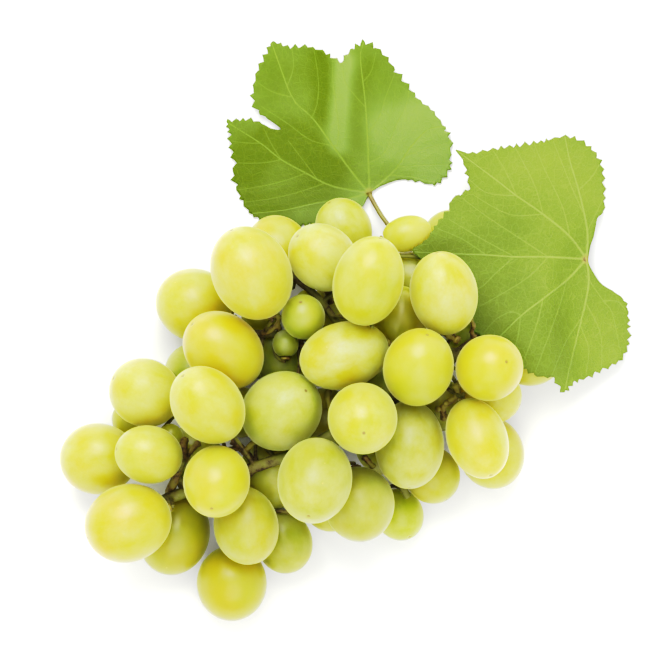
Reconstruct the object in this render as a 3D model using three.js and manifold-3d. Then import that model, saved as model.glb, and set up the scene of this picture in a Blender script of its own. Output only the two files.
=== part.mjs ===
// A bunch of pale green table grapes lying on its side, with its stem and two leaves.
// Millimetres, +Z up. +Y points to the top of the bunch as seen from above.
import * as THREE from "three";
import { mergeVertices } from "three/addons/utils/BufferGeometryUtils.js";
import Module from "manifold-3d";

const wasm = await Module();
wasm.setup();

// Driving dimensions.
const skinGap = 0.3;
const berrySides = 10;
const berryRings = 7;
const leafThickness = 0.6;
const leafRings = [0.2, 0.4, 0.6, 0.8, 1];
const rachis = { radius: 1.9, sides: 8, steps: 22 };
const lateral = { radius: 1.3, sides: 7, stepsPerSpan: 3 };
const pedicel = { radius: 0.75, sides: 5, steps: 5 };
const petiole = { radius: 0.9, sides: 7, steps: 8 };

// How far and how willingly a berry slips sideways while it settles, and how finely it is searched for.
const slipSteps = [0.8, 0.4, 0.4, 0.2];
const slipDirections = 8;
const slipCost = 2;
const shareRange = [0.15, 0.85];
const shareSteps = 11;
const heightSteps = 14;

// Each row: x, y, length, width, heading and rise of the blossom end in degrees.
// The rows go from the lowest berries to the highest, and each one is lowered onto those before it.
const berriesBelowLeaf = [
  [-28.5, -26, 17.5, 16.5, 150, -30],
  [-16.5, 25, 23, 21.5, 110, 10],
  [6.5, -9.5, 16, 15, 90, -40],
  [-42.5, -13.5, 20, 19, 160, 0],
  [-43, 7.5, 24.5, 23.5, 165, 5],
  [-22, 4.5, 13.5, 12.5, 110, 0],
  [-14.5, -67, 20.5, 18.5, -75, 0],
  [63, -7, 22.5, 21.5, -20, 10],
  [37.5, 30, 17, 16, 40, 0],
  [-62, -28.5, 14.5, 14, 150, 0],
  [0, -54.5, 19, 18, -80, 10],
  [16.5, -37, 18, 17, -60, -20],
  [0, 5.5, 16.5, 16, 90, 0],
  [43.5, -2.5, 14.5, 14, 60, 0],
  [51, -39, 23, 21.5, -70, 0],
  [4.5, 32, 20.5, 18, 120, 20],
  [-2.5, 23, 24, 21, 140, 30],
  [-7, 8.5, 8.5, 8, 90, 20],
  [-73, -40.5, 24.5, 23, 180, 0],
  [-58.5, -20, 23.5, 22, 155, 20],
  [34.5, -23.5, 18, 17, -30, -20],
  [50.5, -20.5, 21, 19.5, -20, 10],
  [17, -19.5, 16.5, 16, 60, 0],
  [-15, -10.5, 19.5, 18.5, 100, -20],
  [-14, -4.5, 9, 8.5, 90, 0],
  [22, -58.5, 17, 15.5, -65, 25],
  [26, 16.5, 19, 18.5, 80, 10],
  [22, 3.5, 21.5, 18, 90, 0],
  [24.5, 30.5, 16, 11.5, 15, 0],
  [-1.5, -28, 20, 19, 90, -30],
  [9, -55, 24, 23, -85, 10],
  [32.5, -46, 19, 18, -60, 10],
  [25, -36.5, 28.5, 22.5, -90, 15],
  [-31, -80, 24, 22.5, -90, -10],
  [-49, -65, 26, 22.5, -115, -5],
  [-63.5, -61, 28, 25, -160, 10],
  [-44, -39.5, 20, 19, -150, 0],
  [-50, -33.5, 8, 7.5, 120, 0],
  [-57.5, -40.5, 22, 18.5, 170, 20],
  [-18, -45, 23.5, 21.5, -90, 0],
  [-26.5, -62, 25, 21, -80, 10],
  [-35.5, -48, 24.5, 21.5, -100, 45],
  [-15, -25.5, 28.5, 25, 40, 45],
  [46.5, -34, 27.5, 19.5, -70, 25],
  [-8.5, 4, 15, 14, 100, 50],
  [-24, 18, 31, 25.5, 115, 15],
  [-33, -6.5, 28.5, 23, 140, 25],
  [-38.5, -25, 28, 22, 130, 30],
];
const berriesOnTop = [
  [35.5, 11.5, 27, 21.5, 100, 15],
  [-4.5, -47.5, 29.5, 24, -100, 40],
  [50, -12.5, 23, 21, 20, 60],
  [4.5, -8, 29, 21.5, 195, 10],
  [12, 15, 29.5, 23, 75, 20],
  [9.5, -28, 27.5, 22.5, -85, 70],
  [27.5, -12.5, 26, 22.5, 75, 35],
];

function axisOf(heading, rise) {
  const flat = THREE.MathUtils.degToRad(heading);
  const up = THREE.MathUtils.degToRad(rise);
  return new THREE.Vector3(Math.cos(flat) * Math.cos(up), Math.sin(flat) * Math.cos(up), Math.sin(up));
}

// An ellipsoid of revolution about its axis, kept as its centre, axis and half sizes.
function makeBerry([x, y, length, width, heading, rise]) {
  return {
    centre: new THREE.Vector3(x, y, 0),
    axis: axisOf(heading, rise),
    halfLength: length / 2,
    halfWidth: width / 2,
  };
}

// The symmetric matrix round * I + along * axis * axis^T of a berry grown by the margin.
function shapeMatrix(berry, margin) {
  const round = (berry.halfWidth + margin) ** 2;
  const along = (berry.halfLength + margin) ** 2 - round;
  const { x, y, z } = berry.axis;
  return new THREE.Matrix3(
    round + along * x * x, along * x * y, along * x * z,
    along * x * y, round + along * y * y, along * y * z,
    along * x * z, along * y * z, round + along * z * z,
  );
}

function blend(first, second, share) {
  const mixed = new THREE.Matrix3();
  mixed.elements = first.elements.map((value, i) => (1 - share) * value + share * second.elements[i]);
  return mixed;
}

// Perram and Wertheim's contact value: below 1 the two ellipsoids overlap.
function contactValue(first, second, offset) {
  const value = (share) => {
    const inverse = blend(first, second, share).invert();
    return share * (1 - share) * offset.dot(offset.clone().applyMatrix3(inverse));
  };
  let [low, high] = shareRange;
  for (let i = 0; i < shareSteps; i++) {
    const a = low + (high - low) / 3;
    const b = high - (high - low) / 3;
    if (value(a) < value(b)) low = a;
    else high = b;
  }
  return value((low + high) / 2);
}

// The lowest centre height at which a berry clears one placed below it, or -Infinity if it passes by.
function restHeight(berry, other) {
  const reach = berry.halfLength + other.halfLength + skinGap;
  const dx = berry.centre.x - other.centre.x;
  const dy = berry.centre.y - other.centre.y;
  if (Math.hypot(dx, dy) > reach) return -Infinity;
  const first = shapeMatrix(berry, skinGap / 2);
  const second = shapeMatrix(other, skinGap / 2);
  const valueAt = (dz) => contactValue(first, second, new THREE.Vector3(dx, dy, dz));
  let low = -reach;
  let high = reach;
  for (let i = 0; i < heightSteps && valueAt((low + high) / 2) >= 1; i++) {
    const a = low + (high - low) / 3;
    const b = high - (high - low) / 3;
    if (valueAt(a) < valueAt(b)) high = b;
    else low = a;
  }
  low = (low + high) / 2;
  if (valueAt(low) >= 1) return -Infinity;
  high = reach;
  for (let i = 0; i < heightSteps; i++) {
    const middle = (low + high) / 2;
    if (valueAt(middle) < 1) low = middle;
    else high = middle;
  }
  return other.centre.z + high;
}

// The top and bottom of a berry above one point of the floor plan, or null beside it.
function columnThrough(berry, x, y, margin) {
  const q = shapeMatrix(berry, margin).invert().elements;
  const dx = x - berry.centre.x;
  const dy = y - berry.centre.y;
  const a = q[8];
  const b = q[2] * dx + q[5] * dy;
  const c = q[0] * dx * dx + 2 * q[1] * dx * dy + q[4] * dy * dy - 1;
  const inside = b * b - a * c;
  if (inside < 0) return null;
  return {
    top: berry.centre.z + (-b + Math.sqrt(inside)) / a,
    bottom: berry.centre.z + (-b - Math.sqrt(inside)) / a,
  };
}

// The height at which a berry rests on a leaf, looking at points spread over its footprint.
const footprintSteps = 10;
function heightOverLeaf(berry, leaf) {
  const reach = berry.halfLength;
  if (leaf.box.distanceToPoint(new THREE.Vector2(berry.centre.x, berry.centre.y)) > reach) return -Infinity;
  const grounded = { ...berry, centre: berry.centre.clone().setZ(0) };
  let height = -Infinity;
  for (let i = -footprintSteps; i <= footprintSteps; i++) {
    for (let j = -footprintSteps; j <= footprintSteps; j++) {
      const x = berry.centre.x + (i / footprintSteps) * reach;
      const y = berry.centre.y + (j / footprintSteps) * reach;
      const column = columnThrough(grounded, x, y, skinGap);
      const surface = column ? leafHeightAt(leaf, x, y) : null;
      if (surface !== null) height = Math.max(height, surface + leafThickness - column.bottom);
    }
  }
  return height;
}

// The height at which a berry comes to rest on the floor, the berries and the leaves below it.
function restOn(berry, placed, leaves) {
  let height = Math.sqrt(shapeMatrix(berry, 0).elements[8]);
  for (const other of placed) height = Math.max(height, restHeight(berry, other));
  for (const leaf of leaves) height = Math.max(height, heightOverLeaf(berry, leaf));
  return height;
}

// Lowers each berry in turn, letting it slip a little sideways where that lets it sink deeper.
function lowerOnto(rows, placed, leaves) {
  for (const row of rows) {
    const berry = makeBerry(row);
    const start = berry.centre.clone();
    const costAt = (dx, dy) => {
      berry.centre.set(start.x + dx, start.y + dy, 0);
      return restOn(berry, placed, leaves) + slipCost * (dx * dx + dy * dy);
    };
    let best = { dx: 0, dy: 0, cost: costAt(0, 0) };
    for (const step of slipSteps) {
      for (let turn = 0; turn < slipDirections; turn++) {
        const angle = (2 * Math.PI * turn) / slipDirections;
        const dx = best.dx + step * Math.cos(angle);
        const dy = best.dy + step * Math.sin(angle);
        const cost = costAt(dx, dy);
        if (cost < best.cost) best = { dx, dy, cost };
      }
    }
    berry.centre.set(start.x + best.dx, start.y + best.dy, 0);
    berry.centre.z = restOn(berry, placed, leaves);
    placed.push(berry);
  }
}

// Leaf outlines run counter-clockwise about a heart point. The upper leaf's heart is the petiole's joint,
// on its margin, so its spokes don't close round; the right leaf's heart is inside the blade.
const upperLeafShape = {
  heart: [12.5, 43.5],
  closed: false,
  outline: [
    [22, 47.5], [32, 46], [38.5, 52], [37.5, 55.5], [38.5, 59], [37, 62.5], [34.5, 65.5],
    [32, 70], [28, 72.5], [23.5, 79], [19.5, 84], [17.5, 87], [15, 90], [10.5, 91.5], [7, 89.5],
    [5, 88], [3.5, 85], [1.5, 86], [-1.5, 88], [-6.5, 90], [-10, 90], [-13.5, 90], [-18.5, 91.5],
    [-20, 88.5], [-23.5, 82.5], [-24.5, 76], [-24.5, 72.5], [-23, 69], [-19, 66.5], [-15.5, 63.5],
    [-19, 64], [-21.5, 66], [-27.5, 67], [-33, 66], [-32, 62.5], [-32, 58.5], [-30.5, 51],
    [-31, 48.5], [-28, 41], [-24, 35.5], [-8, 33], [2, 34.5], [10, 39.5],
  ],
};
const rightLeafShape = {
  heart: [72.5, 21.5],
  closed: true,
  outline: [
    [82, 24], [83.5, 29.5], [85, 35.5], [87, 41.5], [87, 46.5], [86.5, 52], [83.5, 56.5],
    [79, 60.5], [74, 61.5], [68, 60], [62.5, 59], [54.5, 58], [49, 57], [44, 56], [39.5, 57],
    [42, 54], [43, 49.5], [44, 44.5], [42, 43.5], [38.5, 41.5], [37.5, 38], [35.5, 36], [33, 32.5],
    [31.5, 29.5], [29, 27.5], [26, 24.5], [34.5, 17.5], [42.5, 5.5], [45.5, 0], [50.5, -6.5],
    [56.5, -11.5], [61.5, -12.5], [64.5, -14.5], [67, -15], [70, -15], [74, -20], [77, -17],
    [82, -15], [86.5, -12.5], [92, -10], [94.5, -5.5], [95, -1.5], [94.5, 6], [93.5, 9.5],
    [90, 12], [86, 14.5], [82.5, 19],
  ],
};

// The upper leaf lies flat where berries press on it and lifts in a shallow wave towards its tips.
const leafRest = 0.6;
const upperLeafWave = { start: 46, end: 88, lift: 6, share: 0.4, pitch: 0.16, phase: 0.6 };
function upperLeafHeight(x, y) {
  const { start, end, lift, share, pitch, phase } = upperLeafWave;
  const wave = 1 - share + share * Math.sin(x * pitch + phase);
  return leafRest + THREE.MathUtils.smoothstep(y, start, end) * lift * wave;
}

// The right leaf slopes down from the berries to the floor.
const rightLeafSlope = { tip: 26, high: 22, fall: 0.29, wave: 1.2, pitch: 0.13 };
function rightLeafHeight(x, y) {
  const { tip, high, fall, wave, pitch } = rightLeafSlope;
  return Math.max(leafRest, high - (x - tip) * fall + wave * Math.sin(y * pitch));
}

// A leaf's points: the heart first, then each spoke from the heart outwards.
function makeLeaf(shape, heightAt) {
  const points = [new THREE.Vector3(...shape.heart, heightAt(...shape.heart))];
  for (const [x, y] of shape.outline) {
    for (const share of leafRings) {
      const px = THREE.MathUtils.lerp(shape.heart[0], x, share);
      const py = THREE.MathUtils.lerp(shape.heart[1], y, share);
      points.push(new THREE.Vector3(px, py, heightAt(px, py)));
    }
  }
  const rings = leafRings.length;
  const count = shape.outline.length;
  const at = (spoke, ring) => 1 + (spoke % count) * rings + ring;
  const triangles = [];
  for (let i = 0; i < (shape.closed ? count : count - 1); i++) {
    triangles.push([0, at(i, 0), at(i + 1, 0)]);
    for (let k = 0; k + 1 < rings; k++) {
      triangles.push([at(i, k), at(i, k + 1), at(i + 1, k + 1)]);
      triangles.push([at(i, k), at(i + 1, k + 1), at(i + 1, k)]);
    }
  }
  const box = new THREE.Box2().setFromPoints(points.map(({ x, y }) => new THREE.Vector2(x, y)));
  return { points, triangles, box };
}

// The lowest height for a leaf's middle surface at one point, so that it clears the berries below it.
function heightOver(berries, x, y) {
  let height = -Infinity;
  for (const berry of berries) {
    const column = columnThrough(berry, x, y, skinGap);
    if (column) height = Math.max(height, column.top + leafThickness);
  }
  return height;
}

// Lifts a leaf over the berries below it, and lets it sag back to its own slope between them.
const drapeStiffness = 0.95;
const drapeDrop = 2;
const drapeChecks = 5;
const drapePasses = [200, 40];
function drapeOver(leaf, berries) {
  const own = leaf.points.map((point) => point.z);
  const floor = leaf.points.map((point, i) => Math.max(own[i] - drapeDrop, heightOver(berries, point.x, point.y)));
  const neighbours = leaf.points.map(() => new Set());
  for (const [a, b, c] of leaf.triangles) {
    neighbours[a].add(b).add(c);
    neighbours[b].add(a).add(c);
    neighbours[c].add(a).add(b);
  }
  const sag = () => leaf.points.forEach((point, i) => {
    let sum = 0;
    for (const j of neighbours[i]) sum += leaf.points[j].z;
    const mean = sum / neighbours[i].size;
    point.z = Math.max(floor[i], THREE.MathUtils.lerp(own[i], mean, drapeStiffness));
  });
  const liftFaces = () => {
    for (const corners of leaf.triangles) {
      const [p, q, r] = corners.map((i) => leaf.points[i]);
      for (let i = 0; i <= drapeChecks; i++) {
        for (let j = 0; i + j <= drapeChecks; j++) {
          const [u, v] = [i / drapeChecks, j / drapeChecks];
          const inside = p.clone().multiplyScalar(1 - u - v).addScaledVector(q, u).addScaledVector(r, v);
          const lack = heightOver(berries, inside.x, inside.y) - inside.z;
          if (lack <= 0) continue;
          for (const k of corners) {
            leaf.points[k].z += lack;
            floor[k] = leaf.points[k].z;
          }
        }
      }
    }
  };
  for (const passes of drapePasses) {
    for (let pass = 0; pass < passes; pass++) sag();
    liftFaces();
  }
}

// The height of a leaf's middle surface above one point of the floor plan, or null beside it.
function leafHeightAt(leaf, x, y) {
  for (const [a, b, c] of leaf.triangles) {
    const [p, q, r] = [leaf.points[a], leaf.points[b], leaf.points[c]];
    const area = (q.x - p.x) * (r.y - p.y) - (r.x - p.x) * (q.y - p.y);
    const u = ((x - p.x) * (r.y - p.y) - (r.x - p.x) * (y - p.y)) / area;
    const v = ((q.x - p.x) * (y - p.y) - (x - p.x) * (q.y - p.y)) / area;
    if (u >= 0 && v >= 0 && u + v <= 1) return p.z + u * (q.z - p.z) + v * (r.z - p.z);
  }
  return null;
}

// The blade as a thin closed solid: a top, a bottom, and a wall along every edge that only one side uses.
function bladeGeometry(leaf) {
  const count = leaf.points.length;
  const positions = [];
  for (const side of [1, -1]) {
    for (const { x, y, z } of leaf.points) positions.push(x, y, z + (side * leafThickness) / 2);
  }
  const index = [];
  const edges = new Set();
  for (const [a, b, c] of leaf.triangles) {
    index.push(a, b, c, c + count, b + count, a + count);
    for (const edge of [[a, b], [b, c], [c, a]]) edges.add(edge.join());
  }
  for (const edge of edges) {
    const [a, b] = edge.split(",").map(Number);
    if (!edges.has([b, a].join())) index.push(a, a + count, b + count, a, b + count, b);
  }
  const geometry = new THREE.BufferGeometry();
  geometry.setAttribute("position", new THREE.Float32BufferAttribute(positions, 3));
  geometry.setIndex(index);
  return geometry;
}

function toSolid(geometry) {
  const bare = geometry.clone();
  bare.deleteAttribute("normal");
  bare.deleteAttribute("uv");
  const merged = mergeVertices(bare);
  return new wasm.Manifold(new wasm.Mesh({
    numProp: 3,
    vertProperties: Float32Array.from(merged.attributes.position.array),
    triVerts: Uint32Array.from(merged.index.array),
  }));
}

function toGeometry(solid) {
  const mesh = solid.getMesh();
  const geometry = new THREE.BufferGeometry();
  geometry.setAttribute("position", new THREE.BufferAttribute(mesh.vertProperties, 3));
  geometry.setIndex(new THREE.BufferAttribute(mesh.triVerts, 1));
  return geometry;
}

function tubeSolid(points, { radius, sides }) {
  const section = [];
  for (let i = 0; i < sides; i++) {
    const angle = (2 * Math.PI * i) / sides;
    section.push(new THREE.Vector2(radius * Math.cos(angle), radius * Math.sin(angle)));
  }
  return toSolid(new THREE.ExtrudeGeometry(new THREE.Shape(section), {
    steps: points.length - 1,
    extrudePath: new THREE.CatmullRomCurve3(points),
  }));
}

function berryGeometry(berry, margin) {
  const ball = new THREE.SphereGeometry(1, berrySides, berryRings);
  const width = berry.halfWidth + margin;
  ball.scale(width, berry.halfLength + margin, width);
  return ball;
}

function turnTo(axis) {
  return new THREE.Quaternion().setFromUnitVectors(new THREE.Vector3(0, 1, 0), axis);
}

function berrySolid(berry, margin) {
  const ball = berryGeometry(berry, margin);
  ball.applyQuaternion(turnTo(berry.axis));
  ball.translate(...berry.centre.toArray());
  return toSolid(ball);
}

// Moves a point straight out of a berry grown by the clearance.
function pushOut(point, berry, clearance) {
  const offset = point.clone().sub(berry.centre);
  const inverse = shapeMatrix(berry, clearance).invert();
  const depth = offset.dot(offset.clone().applyMatrix3(inverse));
  if (depth < 1 && depth > 1e-6) point.copy(berry.centre).addScaledVector(offset, 1 / Math.sqrt(depth));
}

function pushUnder(point, leaf, clearance) {
  const height = leafHeightAt(leaf, point.x, point.y);
  if (height !== null) point.z = Math.min(point.z, height - clearance);
}

// A stem's route as a stretched band between its ends, pushed clear of the berries and the right leaf.
const bandPasses = 120;
const bandTension = 0.4;
const bandSlack = 0.1;
function settleRoute(waypoints, steps, radius, berries, cover) {
  const band = new THREE.CatmullRomCurve3(waypoints).getSpacedPoints(steps);
  const clearance = radius + skinGap + bandSlack;
  for (let pass = 0; pass < bandPasses; pass++) {
    for (let i = 1; i < band.length; i++) {
      if (i + 1 < band.length) {
        const middle = band[i - 1].clone().add(band[i + 1]).multiplyScalar(0.5);
        band[i].lerp(middle, bandTension);
      }
      for (const berry of berries) pushOut(band[i], berry, clearance);
      band[i].z = Math.max(band[i].z, clearance);
      if (cover) pushUnder(band[i], cover, leafThickness + 1.3 * clearance);
    }
  }
  return band;
}

function nearestPoint(points, target) {
  return points.reduce((best, point) => (point.distanceTo(target) < best.distanceTo(target) ? point : best));
}

// Rachis and laterals as routes through the bunch; the first starts at the cut end under the right leaf.
const rachisRoute = [
  [74, 13, 6], [62, 8, 9], [49, 1.5, 20], [38, -20.5, 24], [22, -31.5, 24],
  [0, -34.5, 24], [-25, -38, 24], [-45.5, -50.5, 22], [-56.5, -56.5, 18],
];
const lateralRoutes = [
  [[42, -8, 22], [24, -6, 22], [8, 0, 20], [-12, 1.5, 20], [-28, -2, 20]],
  [[24, -6, 22], [31, 4, 22], [34, 20, 14]],
  [[22, -31.5, 24], [30, -42, 20], [26, -52, 14]],
  [[0, -34.5, 24], [2, -48, 20], [-6, -60, 16]],
  [[-25, -38, 24], [-30, -52, 20], [-34, -66, 18]],
  [[-45.5, -50.5, 22], [-54, -45, 16], [-59, -38, 14]],
  [[8, 0, 20], [-8, 14, 16], [-14, 22, 20]],
];

const toVectors = (rows) => rows.map((row) => new THREE.Vector3(...row));

// manifold-3d keeps cut-off scraps in the same solid, so only the largest body stays.
function largestBody(solid) {
  return solid.decompose().sort((a, b) => b.volume() - a.volume())[0];
}

function stemSolid(berries, cover) {
  const spine = settleRoute(toVectors(rachisRoute), rachis.steps, rachis.radius, berries, cover);
  let solid = tubeSolid(spine, rachis);
  const joints = [...spine];
  for (const route of lateralRoutes) {
    const waypoints = toVectors(route);
    waypoints[0] = nearestPoint(joints, waypoints[0]).clone();
    const steps = lateral.stepsPerSpan * (waypoints.length - 1);
    const branch = settleRoute(waypoints, steps, lateral.radius, berries, cover);
    solid = solid.add(tubeSolid(branch, lateral));
    joints.push(...branch);
  }
  for (const berry of berries) {
    const stemEnd = berry.centre.clone().addScaledVector(berry.axis, -berry.halfLength - skinGap);
    const ends = [nearestPoint(joints, stemEnd).clone(), stemEnd];
    const stalk = settleRoute(ends, pedicel.steps, pedicel.radius, berries, cover);
    solid = solid.add(tubeSolid(stalk, pedicel));
  }
  for (const berry of berries) solid = solid.subtract(berrySolid(berry, skinGap));
  return largestBody(solid);
}

// A leaf with its petiole, which leaves the blade at its joint and bends away under the bunch.
function leafSolid(leaf, petioleRoute, berries) {
  const route = settleRoute(toVectors(petioleRoute), petiole.steps, petiole.radius, berries, null);
  return largestBody(toSolid(bladeGeometry(leaf)).add(tubeSolid(route, petiole)));
}

const upperLeaf = makeLeaf(upperLeafShape, upperLeafHeight);
const berries = [];
lowerOnto(berriesBelowLeaf, berries, [upperLeaf]);
const rightLeaf = makeLeaf(rightLeafShape, rightLeafHeight);
drapeOver(rightLeaf, berries);
lowerOnto(berriesOnTop, berries, [upperLeaf, rightLeaf]);

const stem = stemSolid(berries, rightLeaf);
const upperPetiole = [[12.8, 43, 1], [16, 36.5, 3], [19.5, 31, 6], [16, 22, 9], [14, 14, 10]];
const rightJoint = [81, 22.5];
const rightJointHeight = leafHeightAt(rightLeaf, ...rightJoint) - leafThickness / 2;
const rightPetiole = [[...rightJoint, rightJointHeight], [76, 20.5, 4.5], [69, 18, 2.5], [61, 15, 2]];
const upperLeafSolid = leafSolid(upperLeaf, upperPetiole, berries);
const rightLeafSolid = leafSolid(rightLeaf, rightPetiole, berries);

const stemLook = new THREE.MeshStandardMaterial({ color: 0x7d7a3a, roughness: 0.75, metalness: 0 });
const upperLeafLook = new THREE.MeshStandardMaterial({ color: 0x8fae34, roughness: 0.6, metalness: 0 });
const rightLeafLook = new THREE.MeshStandardMaterial({ color: 0x9dbb4c, roughness: 0.7, metalness: 0 });
const berryLook = new THREE.MeshStandardMaterial({ color: 0xd5d55a, roughness: 0.35, metalness: 0 });

const bunch = new THREE.Group();

function addMesh(name, geometry, look) {
  const mesh = new THREE.Mesh(geometry, look);
  mesh.name = name;
  bunch.add(mesh);
  return mesh;
}

addMesh("stem", toGeometry(stem), stemLook);
addMesh("leaf_upper", toGeometry(upperLeafSolid), upperLeafLook);
addMesh("leaf_right", toGeometry(rightLeafSolid), rightLeafLook);
berries.forEach((berry, i) => {
  const mesh = addMesh(`berry_${String(i + 1).padStart(2, "0")}`, berryGeometry(berry, 0), berryLook);
  mesh.position.copy(berry.centre);
  mesh.quaternion.copy(turnTo(berry.axis));
});

// The origin is at the middle of the bunch's box, on the surface that it lies on.
bunch.updateMatrixWorld(true);
const box = new THREE.Box3().setFromObject(bunch, true);
const middle = box.getCenter(new THREE.Vector3());
bunch.position.set(-middle.x, -middle.y, -box.min.z);

export default bunch;
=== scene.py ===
import math
import random

import bmesh
import bpy
import numpy as np
from mathutils import Matrix, Vector, noise
from mathutils.bvhtree import BVHTree
from mathutils.geometry import delaunay_2d_cdt, interpolate_bezier


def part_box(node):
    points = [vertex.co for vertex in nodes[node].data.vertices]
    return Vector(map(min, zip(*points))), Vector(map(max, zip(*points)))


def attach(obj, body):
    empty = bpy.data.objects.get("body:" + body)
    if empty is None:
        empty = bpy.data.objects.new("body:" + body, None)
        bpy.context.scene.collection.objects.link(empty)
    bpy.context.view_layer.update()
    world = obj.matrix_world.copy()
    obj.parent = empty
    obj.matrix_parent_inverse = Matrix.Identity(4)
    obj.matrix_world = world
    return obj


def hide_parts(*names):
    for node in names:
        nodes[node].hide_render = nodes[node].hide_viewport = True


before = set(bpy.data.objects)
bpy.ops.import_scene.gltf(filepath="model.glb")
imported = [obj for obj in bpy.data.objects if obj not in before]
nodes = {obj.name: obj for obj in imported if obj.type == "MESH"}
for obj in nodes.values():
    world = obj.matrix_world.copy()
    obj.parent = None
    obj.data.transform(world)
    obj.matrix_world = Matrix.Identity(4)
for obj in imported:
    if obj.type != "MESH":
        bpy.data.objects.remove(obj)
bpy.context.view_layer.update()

scene = bpy.context.scene
mm = 0.001


def newObject(name, bm, material, replaced=()):
    mesh = bpy.data.meshes.new(name)
    bm.to_mesh(mesh)
    bm.free()
    for polygon in mesh.polygons:
        polygon.use_smooth = True
    mesh.materials.append(material)
    piece = bpy.data.objects.new(name, mesh)
    scene.collection.objects.link(piece)
    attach(piece, "root")
    if replaced:
        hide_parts(*replaced)
    return piece


def nodeTree(name):
    material = bpy.data.materials.new(name)
    material.use_nodes = True
    tree = material.node_tree
    tree.nodes.clear()
    shader = tree.nodes.new("ShaderNodeBsdfPrincipled")
    output = tree.nodes.new("ShaderNodeOutputMaterial")
    tree.links.new(shader.outputs["BSDF"], output.inputs["Surface"])
    return material, tree, shader


def addNode(tree, kind, inputs=(), **settings):
    node = tree.nodes.new(kind)
    for key, value in settings.items():
        setattr(node, key, value)
    for key, value in dict(inputs).items():
        if isinstance(value, bpy.types.NodeSocket):
            tree.links.new(value, node.inputs[key])
        else:
            node.inputs[key].default_value = value
    return node


def attribute(tree, name, output="Fac"):
    return addNode(tree, "ShaderNodeAttribute", attribute_name=name).outputs[output]


def noiseAt(tree, vector, scale, detail=2.0, roughness=0.5):
    node = addNode(tree, "ShaderNodeTexNoise", {"Vector": vector, "Scale": scale, "Detail": detail,
                                                "Roughness": roughness})
    return node.outputs["Fac"]


def ramp(tree, value, low, high, start=0.0, end=1.0):
    node = addNode(tree, "ShaderNodeMapRange", {"Value": value, "From Min": low, "From Max": high,
                                                "To Min": start, "To Max": end})
    return node.outputs["Result"]


def calc(tree, operation, a, b=0.0, c=0.0):
    node = addNode(tree, "ShaderNodeMath", operation=operation)
    for socket, value in zip(node.inputs, (a, b, c)):
        if isinstance(value, bpy.types.NodeSocket):
            tree.links.new(value, socket)
        else:
            socket.default_value = value
    return node.outputs[0]


def mixColour(tree, share, a, b):
    node = addNode(tree, "ShaderNodeMix", data_type="RGBA", blend_type="MIX")
    for socket, value in ((node.inputs[0], share), (node.inputs[6], a), (node.inputs[7], b)):
        if isinstance(value, bpy.types.NodeSocket):
            tree.links.new(value, socket)
        elif isinstance(value, float):
            socket.default_value = value
        else:
            socket.default_value = (*value, 1.0)
    return node.outputs[2]


def bump(tree, height, strength, distance, normal=None):
    inputs = {"Height": height, "Strength": strength, "Distance": distance}
    if normal:
        inputs["Normal"] = normal
    return addNode(tree, "ShaderNodeBump", inputs).outputs["Normal"]


# Studio: white floor, even white surroundings, a large soft light towards the leaves.
studio = {
    "floorColour": (0.93, 0.93, 0.93),
    "surroundStrength": 1.25,
    "keyPower": 19.0,
    "keySize": 1.0,
    "keyPlace": (-0.12, 0.7, 1.05),
    "fillPower": 8.0,
    "fillSize": 1.2,
    "fillPlace": (0.1, -0.7, 1.1),
    "whiteLevel": 1.25,
    "tone": ((0.05, 0.026), (0.12, 0.12), (0.22, 0.275), (0.4, 0.55), (0.6, 0.69), (0.85, 0.79),
             (1.05, 0.88)),
    "lightTarget": (0, 0, 0.02),
    "floorSize": 9.0,
    "sensorWidth": 36,
    "farLimit": 40,
    "cameraHeight": 6.0,
    "viewWidth": 0.208,
    "viewPlane": 0.035,
    "rightTipFromMiddle": 0.095,
    "topTipFromMiddle": 0.0915,
}


def areaLight(name, place, size, power, target):
    data = bpy.data.lights.new(name, "AREA")
    data.shape = "DISK"
    data.size = size
    data.energy = power
    light = bpy.data.objects.new(name, data)
    light.location = place
    light.rotation_euler = (Vector(target) - Vector(place)).to_track_quat("-Z", "Y").to_euler()
    scene.collection.objects.link(light)


def makeStudio():
    world = bpy.data.worlds.new("surround")
    scene.world = world
    world.use_nodes = True
    background = world.node_tree.nodes["Background"]
    background.inputs["Color"].default_value = (1, 1, 1, 1)
    background.inputs["Strength"].default_value = studio["surroundStrength"]
    areaLight("keyLight", studio["keyPlace"], studio["keySize"], studio["keyPower"], studio["lightTarget"])
    areaLight("fillLight", studio["fillPlace"], studio["fillSize"], studio["fillPower"],
              studio["lightTarget"])

    bm = bmesh.new()
    bmesh.ops.create_grid(bm, x_segments=1, y_segments=1, size=studio["floorSize"])
    mesh = bpy.data.meshes.new("floor")
    bm.to_mesh(mesh)
    bm.free()
    floor = bpy.data.objects.new("floor", mesh)
    scene.collection.objects.link(floor)
    material, _, shader = nodeTree("floorPaper")
    shader.inputs["Base Color"].default_value = (*studio["floorColour"], 1)
    shader.inputs["Roughness"].default_value = 0.9
    shader.inputs["Specular IOR Level"].default_value = 0.1
    mesh.materials.append(material)

    data = bpy.data.cameras.new("camera")
    camera = bpy.data.objects.new("camera", data)
    scene.collection.objects.link(camera)
    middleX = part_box("leaf_right")[1].x - studio["rightTipFromMiddle"]
    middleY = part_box("leaf_upper")[1].y - studio["topTipFromMiddle"]
    camera.location = (middleX, middleY, studio["cameraHeight"])
    data.sensor_width = studio["sensorWidth"]
    data.lens = studio["sensorWidth"] * (studio["cameraHeight"] - studio["viewPlane"]) / studio["viewWidth"]
    data.clip_end = studio["farLimit"]
    scene.camera = camera
    view = scene.view_settings
    view.view_transform = "Standard"
    view.use_curve_mapping = True
    white = studio["whiteLevel"]
    view.curve_mapping.white_level = (white, white, white)
    curve = view.curve_mapping.curves[3]
    for light, shown in studio["tone"]:
        curve.points.new(light / white, shown)
    view.curve_mapping.update()


makeStudio()
print("studio ready")


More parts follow.
